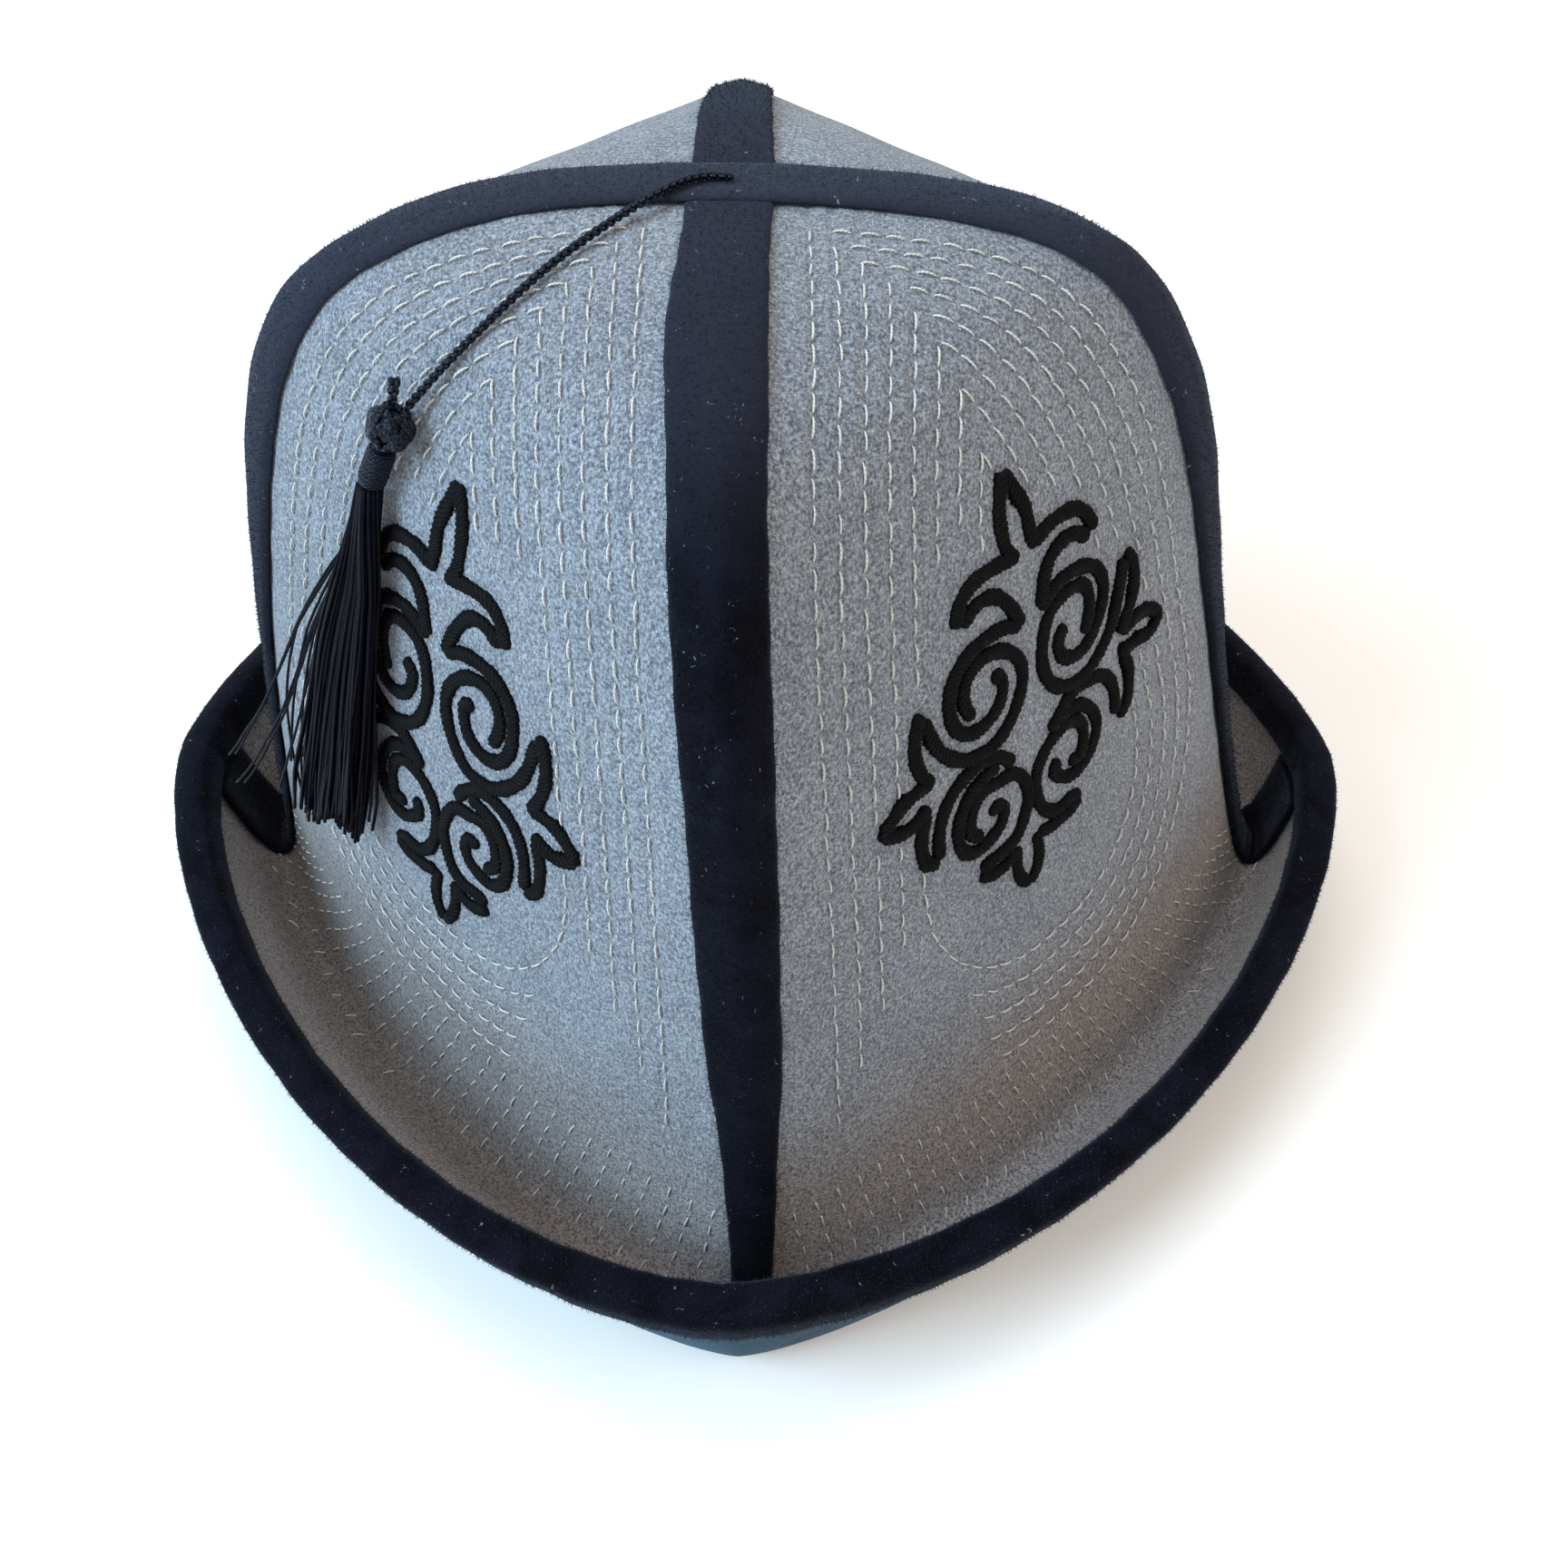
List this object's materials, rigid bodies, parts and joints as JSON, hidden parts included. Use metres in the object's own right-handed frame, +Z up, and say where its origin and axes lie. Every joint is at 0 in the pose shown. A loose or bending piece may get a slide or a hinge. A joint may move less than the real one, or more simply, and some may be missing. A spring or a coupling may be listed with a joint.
{
  "type": "kalpak felt hat",
  "caption": "Four-panel felt kalpak hat with a turned-up brim, velvet seam strips and rim binding, and a cord tassel on the left.",
  "frame": {"origin": "centre of the brim's box, on the plane that the folded brim rests on", "axes": "+Z up through the apex, -Y toward the front seam, +X toward the hat's right side as the picture shows it"},
  "size_m": [0.2743, 0.2817, 0.1763],
  "materials": {
    "felt": "heather grey wool felt",
    "facing_velvet": "dark teal velvet",
    "binding_velvet": "navy black velvet",
    "strip_velvet": "navy black velvet",
    "tassel_thread": "black twisted thread"
  },
  "bodies": {
    "root": {"panel_front_left": "felt", "panel_front_right": "felt", "panel_back_left": "felt", "panel_back_right": "felt", "brim_facing": "facing_velvet", "rim_binding": "binding_velvet", "seam_strip_sides": "strip_velvet", "seam_strip_front": "strip_velvet", "seam_strip_back": "strip_velvet", "tassel_cord": "tassel_thread", "tassel_knot": "tassel_thread", "tassel_tail": "tassel_thread", "tassel_neck": "tassel_thread", "tassel_skirt": "tassel_thread"}
  },
  "joints": []
}
